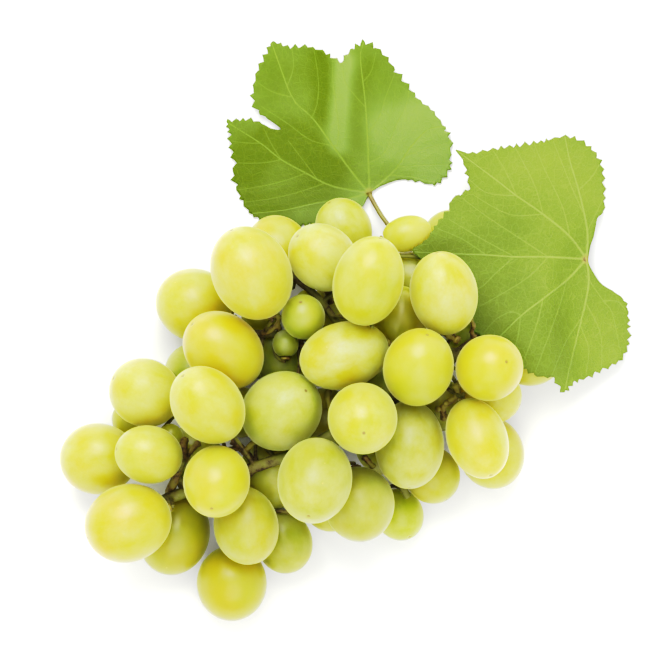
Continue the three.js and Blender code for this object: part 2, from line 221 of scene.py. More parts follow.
# Grape skin: a thin satin skin with a pale bloom over flesh that light passes through, and painted shade that
# darkens the berries lying low in the bunch.
skin = {
    "green": (0.20, 0.245, 0.014),
    "middle": (0.285, 0.275, 0.007),
    "golden": (0.335, 0.25, 0.004),
    "bloomColour": (0.355, 0.375, 0.135),
    "paintedShadeColour": (0.02, 0.03, 0.0),
    "scarColour": (0.12, 0.07, 0.02),
    "speckColour": (0.45, 0.36, 0.08),
    "roughness": 0.34,
    "scatterWeight": 1.0,
    "scatterScale": 0.045,
    "scatterRadius": (1.0, 0.85, 0.16),
    "refraction": 1.4,
    "specular": 0.62,
    "sheen": 0.38,
    "sheenRoughness": 0.35,
    "sheenTint": (0.92, 1.0, 0.55, 1),
}


def makeSkin():
    material, tree, shader = nodeTree("grapeSkin")
    own = attribute(tree, "own", "Vector")
    ripeness = attribute(tree, "ripeness")
    dusting = attribute(tree, "dusting")
    toScar = attribute(tree, "toScar")
    toStem = attribute(tree, "toStem")
    broad = noiseAt(tree, own, 70.0, 3.0)
    tone = calc(tree, "ADD", ripeness, ramp(tree, broad, 0.3, 0.7, -0.24, 0.24))
    colour = addNode(tree, "ShaderNodeValToRGB", {"Fac": tone})
    stops = colour.color_ramp.elements
    stops[0].position, stops[0].color = 0.0, (*skin["green"], 1)
    stops[1].position, stops[1].color = 1.0, (*skin["golden"], 1)
    middle = stops.new(0.5)
    middle.color = (*skin["middle"], 1)
    colour = colour.outputs["Color"]

    # Bloom: a thin pale dust, rubbed away in soft patches and streaked along the berry.
    streakSpace = addNode(tree, "ShaderNodeVectorMath", {0: own, 1: (1.0, 1.0, 0.7)}, operation="MULTIPLY")
    patches = noiseAt(tree, streakSpace.outputs[0], 130.0, 5.0, 0.62)
    fine = noiseAt(tree, own, 900.0, 3.0, 0.6)
    cover = calc(tree, "MULTIPLY", ramp(tree, patches, 0.36, 0.64, 0.12, 1.0), dusting)
    cover = calc(tree, "MULTIPLY", cover, ramp(tree, fine, 0.2, 0.8, 0.7, 1.0))
    colour = mixColour(tree, cover, colour, skin["bloomColour"])
    # Painted shade: each listed berry is darkened towards a near-black green, as if shaded by the berries
    # above it.
    paintedShadeShare = calc(tree, "SUBTRACT", 1.0, attribute(tree, "paintedShade"))
    colour = mixColour(tree, paintedShadeShare, colour, skin["paintedShadeColour"])

    # A few brown specks, the dark scar at the blossom end and a greener ring by the stalk.
    cells = addNode(tree, "ShaderNodeTexVoronoi", {"Vector": own, "Scale": 260.0, "Randomness": 1.0})
    rare = addNode(tree, "ShaderNodeSeparateColor", {0: cells.outputs["Color"]})
    chosen = calc(tree, "GREATER_THAN", rare.outputs[0], 0.86)
    speck = calc(tree, "MULTIPLY", chosen, ramp(tree, cells.outputs["Distance"], 0.05, 0.09, 0.7, 0.0))
    colour = mixColour(tree, speck, colour, skin["speckColour"])
    colour = mixColour(tree, ramp(tree, toScar, 0.00035, 0.00075, 0.9, 0.0), colour, skin["scarColour"])
    colour = mixColour(tree, ramp(tree, toStem, 0.001, 0.0032, 0.6, 0.0), colour, skin["green"])
    tree.links.new(colour, shader.inputs["Base Color"])

    rough = calc(tree, "ADD", skin["roughness"], calc(tree, "MULTIPLY", cover, 0.22))
    tree.links.new(rough, shader.inputs["Roughness"])
    shader.inputs["IOR"].default_value = skin["refraction"]
    shader.inputs["Specular IOR Level"].default_value = skin["specular"]
    shader.inputs["Subsurface Weight"].default_value = skin["scatterWeight"]
    shader.inputs["Subsurface Scale"].default_value = skin["scatterScale"]
    shader.inputs["Subsurface Radius"].default_value = skin["scatterRadius"]
    shader.inputs["Sheen Weight"].default_value = skin["sheen"]
    shader.inputs["Sheen Roughness"].default_value = skin["sheenRoughness"]
    shader.inputs["Sheen Tint"].default_value = skin["sheenTint"]
    pores = noiseAt(tree, own, 2600.0, 2.0)
    swell = noiseAt(tree, own, 260.0, 2.0)
    normal = bump(tree, swell, 0.25, 0.0004)
    normal = bump(tree, pores, 0.12, 0.00006, normal)
    tree.links.new(normal, shader.inputs["Normal"])
    return material


# Berries. Each takes its centre, axis and sizes from its solid in the frame.
berryShape = {
    "around": 64,
    "along": 48,
    "poleCrowding": 0.72,
    "eggness": 0.035,
    "lump": 0.006,
    "scarRadius": 0.0009,
    "scarDepth": 0.00022,
    "scarNub": 0.0002,
    "stemRadius": 0.0026,
    "stemDepth": 0.0007,
    "stalkReach": 0.0016,
}
ripenessOf = {
    "golden": {"share": 0.95, "berries": (47,)},
    "amber": {"share": 0.72, "berries": (46, 48, 51, 36, 44, 2)},
    "yellow": {"share": 0.6, "berries": (5, 20, 34, 42, 52, 22, 15)},
    "pale": {"share": 0.36, "berries": (7, 16, 33, 53, 50, 54, 31, 35)},
    "green": {"share": 0.1, "berries": (43, 45, 18, 4, 25, 38, 26, 14, 23, 24, 37)},
}
dustingOf = {
    "heavy": {"share": 0.9, "berries": (50, 43, 17, 16, 49, 52, 33)},
    "rubbed": {"share": 0.22, "berries": (47, 55, 51, 35, 34, 42, 28)},
}
# Painted shade for berries lying low in the bunch: the share of their own colour that is kept, the rest going
# to a near-black green.
paintedShadeOf = {
    "deep": {"share": 0.71, "berries": (35, 31, 7, 30, 12, 3, 13, 24, 6, 21, 27, 25)},
    "dim": {"share": 0.79, "berries": (34, 41, 45, 11, 23, 32, 33, 28, 37, 18, 38, 40, 4, 10, 50)},
}
usualRipeness = 0.5
usualDusting = 0.56
usualPaintedShade = 1.0


def shareFor(table, number, usual):
    for entry in table.values():
        if number in entry["berries"]:
            return entry["share"]
    return usual


def measureBerry(node, stemTree):
    points = [v.co.copy() for v in node.data.vertices]
    mean = sum(points, Vector()) / len(points)
    first = max(points, key=lambda p: (p - mean).length)
    second = max(points, key=lambda p: (p - first).length)
    centre = (first + second) / 2
    if stemTree.find_nearest(first)[3] < stemTree.find_nearest(second)[3]:
        stemEnd, scarEnd = first, second
    else:
        stemEnd, scarEnd = second, first
    axis = (scarEnd - stemEnd).normalized()
    halfLength = (scarEnd - stemEnd).length / 2
    halfWidth = 0.0
    for p in points:
        along = (p - centre).dot(axis)
        across = ((p - centre) - axis * along).length
        if abs(along) < halfLength * 0.5:
            halfWidth = max(halfWidth, across / math.sqrt(1 - (along / halfLength) ** 2))
    reached = stemTree.find_nearest(stemEnd)[3] < berryShape["stalkReach"]
    return {"centre": centre, "axis": axis, "halfLength": halfLength, "halfWidth": halfWidth,
            "stemEnd": stemEnd, "reached": reached}


def smoothDip(distance, radius):
    return (1 - min(distance / radius, 1) ** 2) ** 2


def makeBerry(number, berry, material):
    rng = random.Random(number * 17 + 5)
    egg = rng.uniform(-1, 1) * berryShape["eggness"]
    shift = Vector((rng.uniform(-9, 9), rng.uniform(-9, 9), rng.uniform(-9, 9)))
    bm = bmesh.new()
    bmesh.ops.create_uvsphere(bm, u_segments=berryShape["around"], v_segments=berryShape["along"], radius=1)
    ownLayer = bm.verts.layers.float_vector.new("own")
    scarLayer = bm.verts.layers.float.new("toScar")
    stemLayer = bm.verts.layers.float.new("toStem")
    ripeLayer = bm.verts.layers.float.new("ripeness")
    dustLayer = bm.verts.layers.float.new("dusting")
    paintedShadeLayer = bm.verts.layers.float.new("paintedShade")
    paintedShade = shareFor(paintedShadeOf, number, usualPaintedShade)
    ripeness = shareFor(ripenessOf, number, usualRipeness) + rng.uniform(-0.1, 0.1)
    dusting = shareFor(dustingOf, number, usualDusting) + rng.uniform(-0.12, 0.12)
    halfLength, halfWidth = berry["halfLength"], berry["halfWidth"]
    for v in bm.verts:
        polar = math.acos(max(-1, min(1, v.co.z)))
        around = math.atan2(v.co.y, v.co.x)
        polar -= 0.5 * berryShape["poleCrowding"] * math.sin(2 * polar)
        t = math.cos(polar)
        ring = math.sin(polar) * (1 - abs(egg) + egg * t)
        unit = Vector((ring * math.cos(around), ring * math.sin(around), t))
        swell = 1 - berryShape["lump"] * (1 + noise.noise(unit * 1.3 + shift))
        p = Vector((unit.x * halfWidth, unit.y * halfWidth, unit.z * halfLength)) * swell
        fromAxis = math.hypot(p.x, p.y)
        if t > 0:
            p.z -= berryShape["scarDepth"] * smoothDip(fromAxis, berryShape["scarRadius"])
            p.z += berryShape["scarNub"] * smoothDip(fromAxis, berryShape["scarRadius"] * 0.4)
        elif berry["reached"]:
            p.z += berryShape["stemDepth"] * smoothDip(fromAxis, berryShape["stemRadius"])
        v[ownLayer] = p + shift * 0.01
        v[scarLayer] = fromAxis if t > 0 else 1.0
        v[stemLayer] = fromAxis if t < 0 and berry["reached"] else 1.0
        v[ripeLayer] = ripeness
        v[dustLayer] = dusting
        v[paintedShadeLayer] = paintedShade
        v.co = p
    turn = Vector((0, 0, 1)).rotation_difference(berry["axis"]).to_matrix().to_4x4()
    bmesh.ops.transform(bm, matrix=Matrix.Translation(berry["centre"]) @ turn, verts=bm.verts)
    return newObject(f"grape_{number:02d}", bm, material, [f"berry_{number:02d}"])


def treeOf(node):
    bm = bmesh.new()
    bm.from_mesh(node.data)
    bmesh.ops.remove_doubles(bm, verts=bm.verts, dist=1e-6)
    tree = BVHTree.FromBMesh(bm)
    bm.free()
    return tree


stemTree = treeOf(nodes["stem"])
grapeSkin = makeSkin()
berries = {}
for name in sorted(n for n in nodes if n.startswith("berry_")):
    number = int(name.split("_")[1])
    berries[number] = measureBerry(nodes[name], stemTree)
    makeBerry(number, berries[number], grapeSkin)
print("berries made:", len(berries))


# Stem: green-brown wood, smoothed from its solid, with dark dried patches.
stemLook = {
    "voxel": 0.00036,
    "smoothing": 4,
    "lump": 0.00012,
    "green": (0.14, 0.145, 0.02),
    "brown": (0.10, 0.075, 0.02),
    "dry": (0.042, 0.026, 0.01),
}


def makeStemMaterial(name, look):
    material, tree, shader = nodeTree(name)
    place = addNode(tree, "ShaderNodeTexCoord").outputs["Object"]
    patch = noiseAt(tree, place, 120.0, 4.0, 0.6)
    grain = noiseAt(tree, place, 900.0, 5.0, 0.65)
    colour = mixColour(tree, ramp(tree, patch, 0.42, 0.6), look["green"], look["brown"])
    dark = ramp(tree, calc(tree, "MULTIPLY", patch, grain), 0.27, 0.36)
    colour = mixColour(tree, dark, colour, look["dry"])
    tree.links.new(colour, shader.inputs["Base Color"])
    tree.links.new(ramp(tree, grain, 0.3, 0.7, 0.5, 0.8), shader.inputs["Roughness"])
    tree.links.new(bump(tree, grain, 0.6, 0.0003), shader.inputs["Normal"])
    return material


def makeStem(material):
    bm = bmesh.new()
    bm.from_mesh(nodes["stem"].data)
    bmesh.ops.remove_doubles(bm, verts=bm.verts, dist=1e-6)
    for face in bm.faces:
        face.smooth = True
    stem = newObject("stemWood", bm, material, ["stem"])
    remesh = stem.modifiers.new("remesh", "REMESH")
    remesh.mode = "VOXEL"
    remesh.voxel_size = stemLook["voxel"]
    remesh.use_smooth_shade = True
    smooth = stem.modifiers.new("smooth", "SMOOTH")
    smooth.factor = 0.5
    smooth.iterations = stemLook["smoothing"]
    return stem


makeStem(makeStemMaterial("stemBark", stemLook))
print("stem made")


# Leaves. Outlines and veins are in millimetres, measured from the middle of the view, as the solids' are.
middleOfView = scene.camera.location.xy.copy()
leafBuild = {
    "around": 1100,
    "curveSteps": 12,
    "veinSteps": 14,
    "veinPoints": 130,
    "meshPitch": 0.0006,
    "veinPitch": 0.0004,
    "thickness": 0.00028,
    "cadHalfThickness": 0.0003,
    "gridPitch": 0.0015,
    "blurs": 5,
    "searchHeight": 0.02,
    "lowest": 0.0002,
    "puffReach": 0.004,
}
upperLeaf = {
    "node": "leaf_upper",
    "heart": (12.5, 43.5),
    "joint": (12.5, 43.5),
    "closed": False,
    "toothPitch": 2.8,
    "toothHeight": 1.4,
    "toothless": [((12.5, 43.5), 9, 20), ((-15.6, 63.7), 4, 9)],
    "outline": [
        (16, 45.6), (22, 47.6), (28, 47.0), (33, 46.0), (36, 48.0), (38.3, 51.6), (38.2, 55.5), (38.6, 59),
        (37.3, 63), (34.8, 66.5), (32.2, 70), (28.3, 73), (24, 78.5), (20, 83.5), (17.3, 87.2), (14, 90),
        (10.6, 91.3), (7.2, 89.4), (5.2, 87.2), (3.6, 85.2), (1.2, 86.2), (-2.0, 88.2), (-6.5, 89.8),
        (-10, 90), (-13.5, 90), (-18.3, 91.3), (-20.3, 87.8), (-23, 82.5), (-24.3, 77), (-24.6, 72.5),
        (-23, 69.2), (-19, 66.4), (-15.6, 63.7), (-18.6, 63.9), (-21.8, 65.6), (-25, 66.8), (-28, 66.8),
        (-32.8, 66), (-32, 62.5), (-31.8, 58.5), (-30.4, 53), (-30.8, 48.5), (-28, 41), (-24, 36),
        (-16, 33.6), (-8, 33), (2, 34.8), (8, 37.4), (10.4, 39.4), (11.6, 41.6),
    ],
    "mainVeins": [
        [(12.5, 43.5), (12.2, 53.5), (11.2, 71.4), (9.6, 86), (10.6, 91)],
        [(12.5, 43.5), (7.2, 49.8), (1.2, 58), (-5.6, 67.4), (-12, 73.8), (-18.5, 91)],
        [(12.5, 43.5), (0.6, 45.7), (-7.6, 49.8), (-15.4, 54), (-22, 59.2), (-32.5, 65.8)],
        [(12.5, 43.5), (16.4, 46.8), (21.3, 51.7), (25.6, 58), (31, 63.5), (36.6, 64.5)],
        [(12.5, 43.5), (6.3, 41.8), (-4, 40.4), (-15, 38), (-25, 37)],
    ],
    "sideVeins": [
        [(2.2, 58.3), (2.7, 63.6), (1.9, 71.4), (0.9, 80), (1.0, 85.6)],
        [(2.2, 58.3), (-6, 60.2), (-13.5, 65.5), (-22, 71)],
        [(-5.6, 67.4), (-4, 72), (-3.6, 79), (-5, 89)],
        [(-12, 73.8), (-18.5, 75.6), (-23.6, 79)],
        [(-13.6, 77.4), (-11.6, 83), (-12, 89.6)],
        [(12.3, 53), (17.3, 56.4), (20.8, 64.6), (24, 71), (25, 76)],
        [(11.9, 62.4), (15.5, 67.4), (17.6, 74), (20.6, 81.6)],
        [(11.4, 70.4), (7.6, 74.6), (4.6, 79), (4.0, 84.6)],
        [(10.4, 78.6), (13, 82), (14.6, 88.4)],
        [(21.3, 51.7), (28, 52.2), (37.6, 52.6)],
        [(23.4, 55), (30.6, 57.6), (37.8, 59.6)],
        [(18.8, 49.2), (26, 48.6), (33, 47)],
        [(-7.6, 49.8), (-15, 47.2), (-22, 45.6), (-29.4, 44.4)],
        [(-15.4, 54), (-22, 53), (-30.6, 53)],
        [(-1.6, 46.6), (-9.4, 44), (-18, 41.8), (-27, 40.6)],
        [(-4, 47.9), (-9.4, 55), (-13.2, 60)],
        [(-15.4, 54), (-18.6, 59), (-21, 64)],
        [(-22, 59.2), (-27, 59.4), (-31.8, 60)],
    ],
    "puff": 0.00012,
    # Patches of painted light: a route, a radius in millimetres and an amount; positive amounts paint a pale
    # sheen, negative ones paint shade.
    "patches": [
        ([(4.5, 84.5), (3.6, 76), (2.6, 66), (2.4, 59)], 3.4, 1.1),
        ([(22, 60), (32, 57), (35, 50)], 10, 0.9),
        ([(18, 66), (28, 68)], 7, 0.45),
        ([(-8, 36), (2, 38), (9, 41)], 5, 0.5),
        ([(-25, 55), (-17, 60), (-6, 56), (-1, 51)], 6, -0.7),
        ([(-3, 86), (-2, 76), (-2, 68)], 4, -0.5),
        ([(10, 84), (8, 74), (9, 60)], 4, -0.25),
        ([(-27, 48), (-22, 40), (-10, 42)], 7, -0.25),
    ],
}
rightLeaf = {
    "node": "leaf_right",
    "heart": (72.5, 21.5),
    "joint": (81.2, 22.4),
    "closed": True,
    "toothPitch": 2.6,
    "toothHeight": 1.15,
    "toothless": [((81.2, 22.4), 12, 24), ((39.7, 57), 2.5, 7), ((26.2, 24.6), 3, 8)],
    "outline": [
        (82, 24), (82.6, 27), (83.5, 29.5), (84.2, 33), (84.8, 35.6), (86.6, 37.4), (87, 41.5), (86.8, 46.5),
        (86.2, 52), (83.7, 56.6), (79.2, 60.2), (74, 61.4), (68, 60), (62.5, 59), (54.5, 57.8), (49, 56.8),
        (44, 56), (39.7, 57), (41.8, 53.8), (43.1, 49.4), (43.9, 44.7), (42, 43.5), (38.5, 41.4),
        (37.3, 38), (35.3, 35.8), (33, 32.5), (31.3, 29.6), (29, 27.4), (26.2, 24.6), (34.5, 17.5),
        (42.5, 5.5), (45.5, 0), (50.5, -6.5), (56.5, -11.5), (61.5, -12.6), (64.5, -14.2), (67.2, -14.9),
        (70.2, -15.1), (74, -19.8), (76.9, -16.8), (82, -14.8), (86.5, -12.5), (91.8, -9.8), (94.3, -5.5),
        (94.8, -1.5), (94.4, 6), (93.3, 9.4), (90, 12.1), (86, 14.6), (83.3, 18.4), (81.9, 21.4),
    ],
    "mainVeins": [
        [(81.2, 22.4), (69, 23.1), (58.4, 23.1), (49.4, 23.7), (40.3, 24), (27, 24.6)],
        [(81.2, 22.4), (75.9, 29.6), (67.4, 36.6), (58.9, 42.5), (52.3, 47.6), (40.4, 56.4)],
        [(81.2, 22.4), (81.5, 31.3), (78.7, 44.2), (76, 53.2), (74.4, 61)],
        [(81.2, 22.4), (75.3, 16.1), (67.4, 9.9), (60.2, 4.3), (53.2, -2.5), (49.5, -5)],
        [(81.2, 22.4), (82, 16), (80.9, 8.8), (79.2, 1.6), (75.9, -11.3), (74.2, -19.2)],
    ],
    "sideVeins": [
        [(69, 23.1), (62.4, 27.4), (49.5, 35.9), (42, 41.5)],
        [(69, 23.1), (61.8, 16), (47.3, 7.4)],
        [(58.4, 23.1), (47.6, 29), (37.5, 35)],
        [(58.4, 23.1), (52.3, 17.8), (47.3, 13.2), (40, 10.5)],
        [(49.4, 23.6), (42, 28.6), (34, 32)],
        [(67.4, 36.6), (64.6, 46), (58.6, 57.6)],
        [(75.9, 29.6), (73.4, 39.4), (67.8, 51), (64.6, 59)],
        [(58.9, 42.5), (55.6, 50), (51.6, 56.6)],
        [(67.4, 36.6), (56.6, 36.6), (45.4, 42.6)],
        [(58.9, 42.5), (50, 43.2), (44.2, 47.4)],
        [(78.7, 44.2), (82.8, 48.4), (85.4, 52.6)],
        [(81.5, 31.3), (84.6, 37.6), (86.8, 42.4)],
        [(80.4, 36.6), (76.6, 45), (70.6, 59.8)],
        [(60, 4.9), (57, 5.6), (52.3, 3.2), (48.8, -0.8)],
        [(75, 16.7), (73.5, 10.6), (70.4, 1.6), (64.6, -13.6)],
        [(67.4, 9.9), (65.4, 2), (60.4, -12)],
        [(60.2, 4.3), (59.4, -2), (57, -10.6)],
        [(81, 17.2), (86.5, 9.3), (89.4, 5.2), (91.8, -6)],
        [(86.5, 9.3), (91, 9.0), (93.8, 6)],
        [(80.9, 8.8), (85.6, -1), (86, -12)],
        [(79.2, 1.6), (81.8, -6), (81, -14.6)],
        [(79.8, 4), (74.4, -4), (70, -14.4)],
    ],
    "puff": -0.0001,
    # Patches of painted light: positive amounts paint a pale sheen, negative ones paint shade.
    "patches": [
        ([(50, -8), (56, 2), (66, 0)], 9, -0.55),
        ([(40, 12), (50, 12), (60, 10)], 8, -0.4),
        ([(34, 26), (46, 28), (56, 30)], 7, -0.3),
        ([(60, 50), (74, 52), (82, 44)], 8, 0.35),
        ([(86, 0), (88, -8), (80, -4)], 7, 0.3),
    ],
}


def toView(point):
    return Vector((point[0] * mm + middleOfView.x, point[1] * mm + middleOfView.y))


def curvePlaces(points, count, closed=False):
    # A Catmull-Rom curve through the points, with the same number of places on each span.
    total = len(points)
    places = []
    for i in range(total if closed else total - 1):
        if closed:
            p0, p1, p2, p3 = (points[(i + k) % total] for k in (-1, 0, 1, 2))
        else:
            p0, p1, p2, p3 = (points[max(0, min(total - 1, i + k))] for k in (-1, 0, 1, 2))
        places += interpolate_bezier(p1, p1 + (p2 - p0) / 6, p2 - (p3 - p1) / 6, p2, count)[:-1]
    return places + [points[0] if closed else points[-1]]


def smoothCurve(points, count, closed):
    # Evenly spaced places along the curve, and its length.
    dense = [Vector(p[:2]) for p in curvePlaces(points, leafBuild["curveSteps"], closed)]
    lengths = [0.0]
    for a, b in zip(dense, dense[1:]):
        lengths.append(lengths[-1] + (b - a).length)
    places = []
    j = 0
    for i in range(count + 1):
        at = lengths[-1] * i / count
        while j < len(dense) - 2 and lengths[j + 1] < at:
            j += 1
        share = (at - lengths[j]) / max(lengths[j + 1] - lengths[j], 1e-12)
        places.append(dense[j].lerp(dense[j + 1], min(share, 1)))
    return places, lengths[-1]


def toothedOutline(leaf):
    count = leafBuild["around"]
    places, length = smoothCurve([toView(p) for p in leaf["outline"]], count, leaf["closed"])
    rng = random.Random(len(leaf["outline"]))
    edges = [0.0]
    while edges[-1] < length:
        edges.append(edges[-1] + leaf["toothPitch"] * mm * rng.uniform(0.6, 1.4))
    edges = [e * length / edges[-1] for e in edges]
    heights = [leaf["toothHeight"] * mm * rng.uniform(0.35, 1.5) for _ in edges]
    toothed = []
    k = 0
    for i, place in enumerate(places):
        at = length * i / count
        while k < len(edges) - 2 and edges[k + 1] < at:
            k += 1
        share = (at - edges[k]) / (edges[k + 1] - edges[k])
        lean = share ** 0.75
        tooth = 1 - abs(2 * lean - 1) ** 0.75
        fade = 1
        for near, low, high in leaf["toothless"]:
            fade *= max(0, min(1, ((place - toView(near)).length / mm - low) / (high - low)))
        ahead = places[(i + 1) % count if leaf["closed"] else min(i + 1, count)]
        behind = places[(i - 1) % count if leaf["closed"] else max(i - 1, 0)]
        along = (ahead - behind).normalized()
        outward = Vector((along.y, -along.x))
        toothed.append(place + outward * (tooth - 0.45) * heights[k] * fade)
    return toothed


def segmentDistances(points, veins):
    # For every point: distance to the nearest vein, and how far along that vein the nearest place is.
    nearest = np.full(len(points), 1e9)
    along = np.zeros(len(points))
    for vein in veins:
        places, _ = smoothCurve([toView(p) for p in vein], leafBuild["veinSteps"], False)
        for i, (a, b) in enumerate(zip(places, places[1:])):
            a, b = np.array(a), np.array(b)
            step = b - a
            share = np.clip(((points - a) @ step) / max(step @ step, 1e-18), 0, 1)
            away = np.linalg.norm(points - a - share[:, None] * step, axis=1)
            closer = away < nearest
            nearest = np.where(closer, away, nearest)
            along = np.where(closer, (i + share) / leafBuild["veinSteps"], along)
    return nearest, along


def insideOutline(points, outline):
    inside = np.zeros(len(points), dtype=bool)
    for a, b in zip(outline, np.roll(outline, -1, axis=0)):
        crosses = (a[1] > points[:, 1]) != (b[1] > points[:, 1])
        rise = b[1] - a[1] if b[1] != a[1] else 1e-12
        inside ^= crosses & (points[:, 0] < a[0] + (points[:, 1] - a[1]) * (b[0] - a[0]) / rise)
    return inside


def fillOutline(leaf):
    # Evenly spread points inside the toothed outline, with rows of points along the veins.
    outline = np.array(toothedOutline(leaf))
    if leaf["closed"]:
        outline = outline[:-1]
    else:
        outline = np.vstack([outline, np.array(toView(leaf["heart"]))])
    veinPoints = []
    for vein in leaf["mainVeins"] + leaf["sideVeins"]:
        for place in smoothCurve([toView(p) for p in vein], leafBuild["veinPoints"], False)[0]:
            if not veinPoints or min((place - other).length for other in veinPoints) > leafBuild["veinPitch"]:
                veinPoints.append(place)
    veinPoints = np.array(veinPoints)
    pitch = leafBuild["meshPitch"]
    low, high = outline.min(axis=0), outline.max(axis=0)
    rows = np.arange(low[1], high[1], pitch * 0.866)
    columns = np.arange(low[0], high[0], pitch)
    spread = np.array([(x + (i % 2) * pitch / 2, y) for i, y in enumerate(rows) for x in columns])
    spread = spread[insideOutline(spread, outline)]
    veinPoints = veinPoints[insideOutline(veinPoints, outline)]
    veinPoints = veinPoints[farFrom(veinPoints, outline, pitch * 0.5)]
    spread = spread[farFrom(spread, outline, pitch * 0.6) & farFrom(spread, veinPoints, pitch * 0.6)]
    corners = [Vector(p) for p in np.vstack([outline, veinPoints, spread])]
    filled = delaunay_2d_cdt(corners, [], [list(range(len(outline)))], 1, 1e-7)
    return filled[0], filled[2]


def farFrom(points, others, distance):
    far = np.ones(len(points), dtype=bool)
    for other in others:
        far &= ((points - other) ** 2).sum(axis=1) > distance ** 2
    return far


def smoothHeights(node, points):
    # Heights of the solid's middle, read on a coarse grid and blended into one smooth surface.
    solid = treeOf(nodes[node])
    pitch = leafBuild["gridPitch"]
    start = points.min(axis=0) - 2 * pitch
    columns, rows = (np.ceil((points.max(axis=0) - start) / pitch) + 3).astype(int)
    grid = np.zeros((columns, rows))
    for i in range(columns):
        for j in range(rows):
            x, y = start[0] + i * pitch, start[1] + j * pitch
            hit = solid.ray_cast(Vector((x, y, 1)), Vector((0, 0, -1)))[0]
            if hit is None:
                hit = solid.find_nearest(Vector((x, y, leafBuild["searchHeight"])))[0]
            grid[i, j] = hit.z - leafBuild["cadHalfThickness"]
    for _ in range(leafBuild["blurs"]):
        wide = np.pad(grid, 1, mode="edge")
        grid = (2 * grid + wide[:-2, 1:-1] + wide[2:, 1:-1] + wide[1:-1, :-2] + wide[1:-1, 2:]) / 6
    at = (points - start) / pitch
    cell = np.floor(at).astype(int)
    f = at - cell
    weights = [(1 - f) ** 3 / 6, (3 * f ** 3 - 6 * f ** 2 + 4) / 6,
               (-3 * f ** 3 + 3 * f ** 2 + 3 * f + 1) / 6, f ** 3 / 6]
    heights = np.zeros(len(points))
    for i in range(4):
        for j in range(4):
            column = np.clip(cell[:, 0] + i - 1, 0, columns - 1)
            row = np.clip(cell[:, 1] + j - 1, 0, rows - 1)
            heights += weights[i][:, 0] * weights[j][:, 1] * grid[column, row]
    return heights


def makeLeaf(name, leaf, material):
    bm = bmesh.new()
    corners, triangles = fillOutline(leaf)
    verts = [bm.verts.new((*corner, 0)) for corner in corners]
    for triangle in triangles:
        bm.faces.new([verts[i] for i in triangle])
    if sum(f.calc_area() * f.normal.z for f in bm.faces) < 0:
        bmesh.ops.reverse_faces(bm, faces=bm.faces)
    bm.verts.ensure_lookup_table()
    points = np.array([v.co.xy for v in bm.verts])
    mainAway, mainAlong = segmentDistances(points, leaf["mainVeins"])
    sideAway, sideAlong = segmentDistances(points, leaf["sideVeins"])
    nearest = np.minimum(mainAway, sideAway)
    puff = np.clip(nearest / leafBuild["puffReach"], 0, 1)
    puff = puff * puff * (3 - 2 * puff)
    # Painted sheen and shade: the colour is made paler near patches with positive amounts and darker near
    # those with negative amounts.
    paintedSheenAndShade = np.zeros(len(points))
    for route, radius, amount in leaf["patches"]:
        away, _ = segmentDistances(points, [route])
        paintedSheenAndShade += amount * np.exp(-(away / (radius * mm)) ** 2)
    jointAway = np.linalg.norm(points - np.array(toView(leaf["joint"])), axis=1)
    mainLayer = bm.verts.layers.float.new("toMainVein")
    sideLayer = bm.verts.layers.float.new("toSideVein")
    paintedSheenAndShadeLayer = bm.verts.layers.float.new("paintedSheenAndShade")
    jointLayer = bm.verts.layers.float.new("toJoint")
    heights = smoothHeights(leaf["node"], points)
    for i, v in enumerate(bm.verts):
        ripple = noise.noise(Vector((v.co.x, v.co.y, 0)) * 60) * 0.0005
        v.co.z = max(heights[i] + leaf["puff"] * puff[i] + ripple, leafBuild["lowest"])
        v[mainLayer] = mainAway[i] / (1.45 - 0.85 * mainAlong[i])
        v[sideLayer] = sideAway[i] / (0.95 - 0.4 * sideAlong[i])
        v[paintedSheenAndShadeLayer] = paintedSheenAndShade[i]
        v[jointLayer] = jointAway[i]
    blade = newObject(name, bm, material, [leaf["node"]])
    solidify = blade.modifiers.new("thickness", "SOLIDIFY")
    solidify.thickness = leafBuild["thickness"]
    solidify.offset = 0
    return blade


# Leaf skin: blade, paler veins, a fine net of veinlets, and painted sheen and painted shade in patches.
upperLook = {
    "blade": (0.065, 0.098, 0.0),
    "pale": (0.128, 0.184, 0.042),
    "vein": (0.135, 0.19, 0.03),
    "joint": (0.17, 0.15, 0.03),
    "veinWidth": 0.00036,
    "veinRise": -1.5,
    "specular": 0.14,
    "roughness": 0.42,
    "net": 0.7,
    "netBump": 0.2,
}
rightLook = {
    "blade": (0.089, 0.126, 0.011),
    "pale": (0.138, 0.186, 0.026),
    "vein": (0.17, 0.23, 0.05),
    "joint": (0.22, 0.18, 0.05),
    "veinWidth": 0.00038,
    "veinRise": 1.2,
    "specular": 0.25,
    "roughness": 0.6,
    "net": 1.0,
    "netBump": 0.5,
}
leafNet = {"coarseScale": 420.0, "fineScale": 1250.0, "scatter": 0.35, "scatterScale": 0.0006,
           "scatterRadius": (0.7, 1.0, 0.25)}


